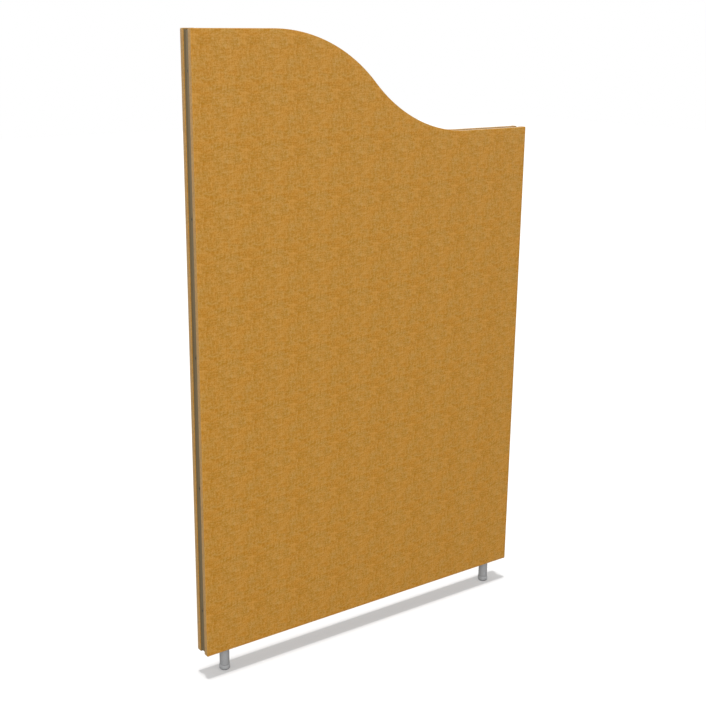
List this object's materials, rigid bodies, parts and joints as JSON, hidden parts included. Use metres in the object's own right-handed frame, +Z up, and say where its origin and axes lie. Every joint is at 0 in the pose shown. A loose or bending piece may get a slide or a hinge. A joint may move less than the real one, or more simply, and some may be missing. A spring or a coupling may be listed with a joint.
{
  "type": "acoustic partition screen",
  "caption": "Fabric-covered acoustic partition panel with a wave-shaped top edge, a lined groove round its edge, and short tube posts with levelling feet.",
  "frame": {"origin": "on the floor, under the middle of the panel's width and thickness", "axes": "+Z up, X along the width with the low side at +X, Y through the thickness with the front face towards -Y"},
  "size_m": [1, 0.05, 1.562],
  "materials": {
    "fabric": "matte",
    "fibre_board": "matte",
    "timber": "matte",
    "dowel": "matte",
    "wool": "matte",
    "channel": "matte",
    "screw": "satin",
    "brass": "satin",
    "steel": "satin",
    "post_steel": "satin",
    "rubber": "matte"
  },
  "bodies": {
    "screen": {"front_board": "fibre_board", "back_board": "fibre_board", "front_cover": "fabric", "back_cover": "fabric", "left_stile": "timber", "right_stile": "timber", "bottom_rail": "timber", "cross_rail": "timber", "wave_rail": "timber", "frame_dowels": "dowel", "lower_infill": "wool", "upper_infill": "wool", "left_channel": "channel", "right_channel": "channel", "bottom_channel": "channel", "high_channel": "channel", "wave_channel": "channel", "low_channel": "channel", "channel_screws": "screw", "left_insert": "brass", "right_insert": "brass", "left_stud": "steel", "right_stud": "steel", "left_plug": "steel", "right_plug": "steel", "left_post": "post_steel", "right_post": "post_steel", "left_bush": "steel", "right_bush": "steel"},
    "left_foot_pad": {"left_pad": "post_steel", "left_sole": "rubber"},
    "right_foot_pad": {"right_pad": "post_steel", "right_sole": "rubber"},
    "left_screw": {"left_spindle": "post_steel"},
    "right_screw": {"right_spindle": "post_steel"}
  },
  "joints": [
    {"name": "left_pad_travel", "type": "slide", "parent": "screen", "child": "left_foot_pad", "axis": [0, 0, -1], "range_m": [0, 0.01]},
    {"name": "left_screw_turn", "type": "hinge", "parent": "left_foot_pad", "child": "left_screw", "pos_m": [-0.438, 0, 0.01], "axis": [0, 0, -1], "range_deg": [0, 2880]},
    {"name": "right_pad_travel", "type": "slide", "parent": "screen", "child": "right_foot_pad", "axis": [0, 0, -1], "range_m": [0, 0.01]},
    {"name": "right_screw_turn", "type": "hinge", "parent": "right_foot_pad", "child": "right_screw", "pos_m": [0.438, 0, 0.01], "axis": [0, 0, -1], "range_deg": [0, 2880]}
  ],
  "couplings": [
    {"joint": "left_screw_turn", "follows": "left_pad_travel", "rad_per_m": 5026.5},
    {"joint": "right_screw_turn", "follows": "right_pad_travel", "rad_per_m": 5026.5}
  ]
}
